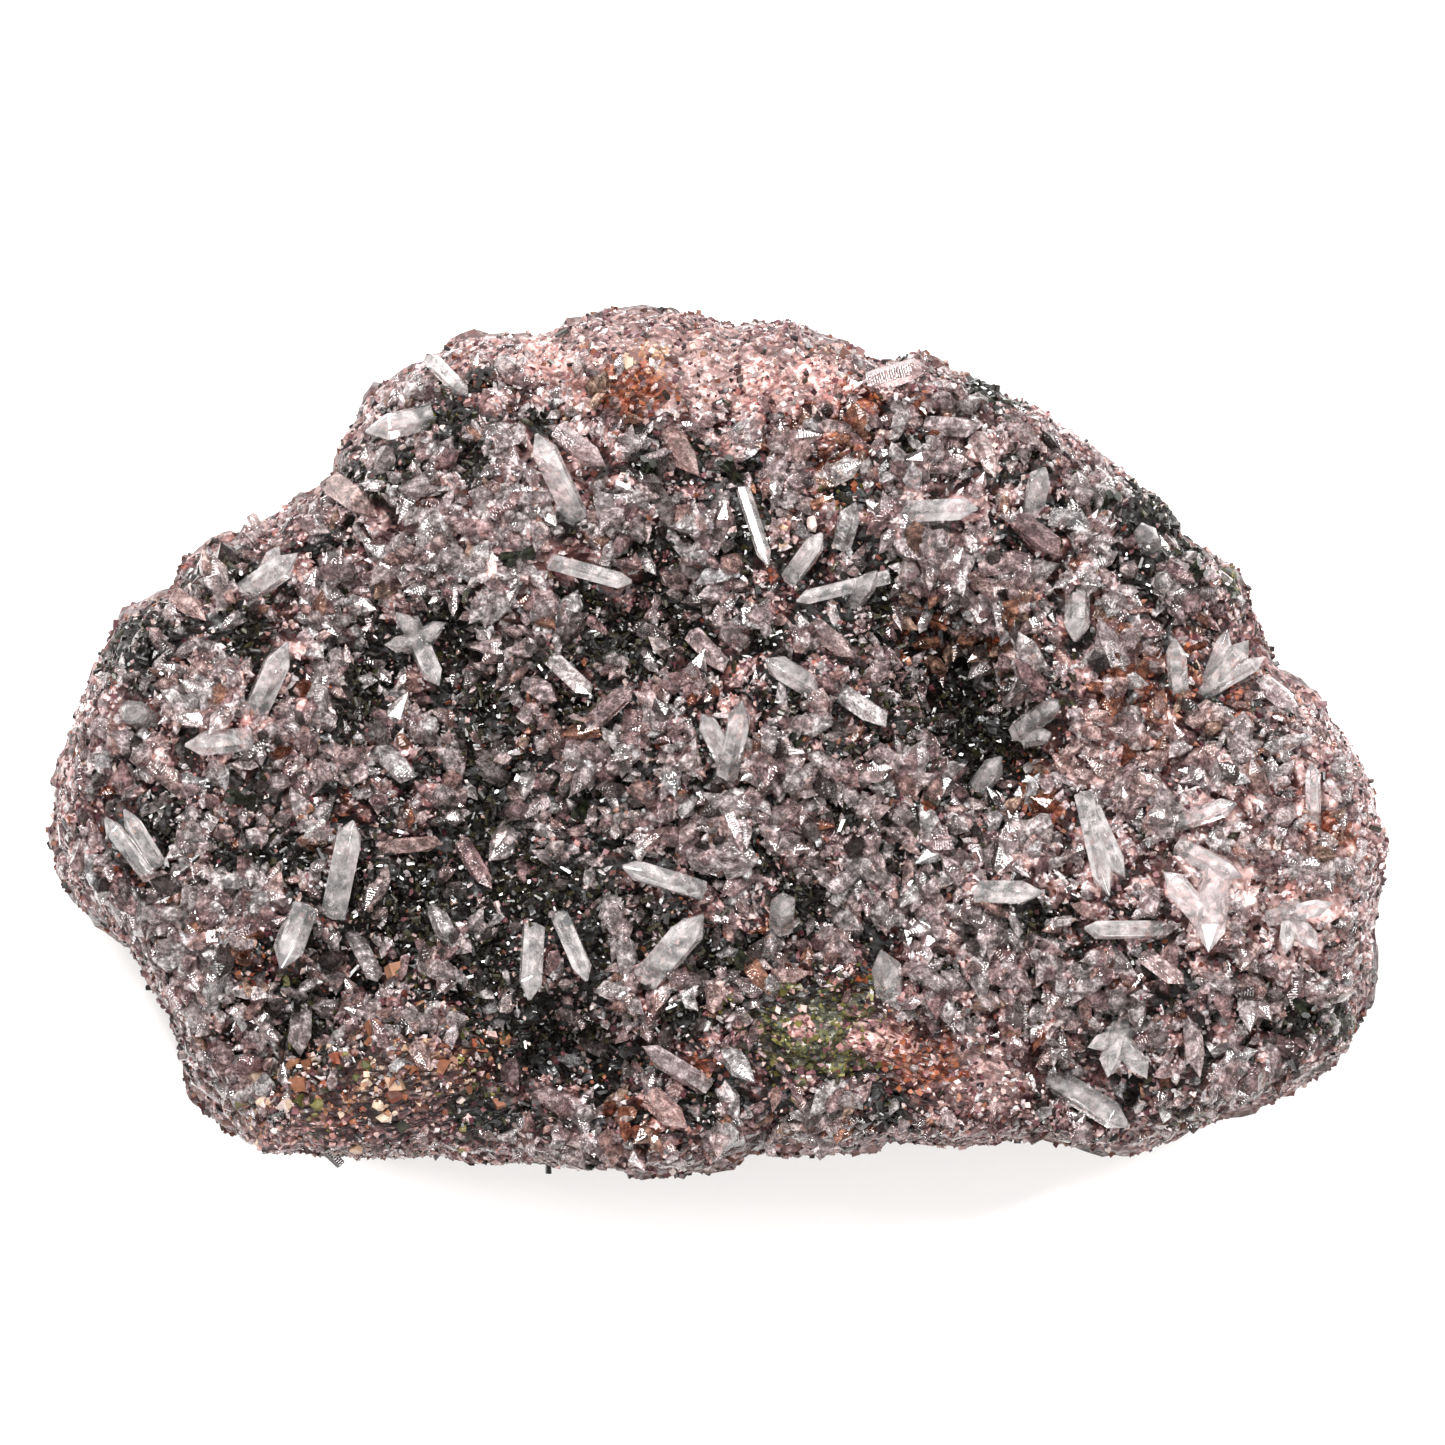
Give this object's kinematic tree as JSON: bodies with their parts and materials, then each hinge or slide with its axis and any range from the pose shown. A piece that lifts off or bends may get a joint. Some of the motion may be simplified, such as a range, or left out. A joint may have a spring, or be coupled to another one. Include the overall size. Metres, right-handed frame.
{
  "type": "quartz and epidote crystal cluster",
  "caption": "Irregular slab of host rock whose upper face is crusted with clear to pale pink quartz points and dark green epidote crystals; rests on its flat back.",
  "frame": {"origin": "middle of the flat resting face, at the bottom of the bounding box", "axes": "+X along the slab's length, +Y across it towards the side with the high block, +Z out of the crystal face"},
  "size_m": [0.1333, 0.0864, 0.0407],
  "materials": {
    "host_rock": "rough mauve-grey and rusty rock, crusted with minute crystals",
    "quartz": "clear to milky and pale pink natural quartz with bright facets",
    "epidote": "dark green, nearly black, glossy natural epidote"
  },
  "bodies": {
    "root": {"epidote_crystal_01": "epidote", "epidote_crystal_02": "epidote", "epidote_crystal_03": "epidote", "epidote_crystal_04": "epidote", "epidote_crystal_05": "epidote", "epidote_crystal_06": "epidote", "epidote_crystal_07": "epidote", "epidote_crystal_08": "epidote", "epidote_crystal_09": "epidote", "epidote_crystal_10": "epidote", "host_rock": "host_rock", "quartz_beige_point": "quartz", "quartz_blunt_point": "quartz", "quartz_bottom_edge_point": "quartz", "quartz_bright_end_point": "quartz", "quartz_broad_pink_point": "quartz", "quartz_crest_point": "quartz", "quartz_flat_face_point": "quartz", "quartz_frosted_stub": "quartz", "quartz_glassy_point": "quartz", "quartz_grey_block_end": "quartz", "quartz_grey_end_point": "quartz", "quartz_hollow_edge_point": "quartz", "quartz_honey_fan": "quartz", "quartz_large_clear_point": "quartz", "quartz_leaning_glassy_point": "quartz", "quartz_leaning_right_point": "quartz", "quartz_left_edge_pair": "quartz", "quartz_lens_point": "quartz", "quartz_long_clear_point": "quartz", "quartz_long_right_pair": "quartz", "quartz_lower_right_spray": "quartz", "quartz_middle_pair": "quartz", "quartz_middle_point": "quartz", "quartz_pink_upper_point": "quartz", "quartz_ridge_point": "quartz", "quartz_right_end_group": "quartz", "quartz_right_group": "quartz", "quartz_right_upper_point": "quartz", "quartz_rusty_pit_point": "quartz", "quartz_rusty_tipped_pair": "quartz", "quartz_square_end_point": "quartz", "quartz_star_spray": "quartz", "quartz_striped_point": "quartz", "quartz_tan_point": "quartz", "quartz_tan_topped_point": "quartz", "quartz_upper_edge_block": "quartz", "quartz_upper_left_pair": "quartz", "quartz_upper_left_point": "quartz", "quartz_upright_right_point": "quartz", "quartz_white_left_point": "quartz"}
  },
  "joints": []
}
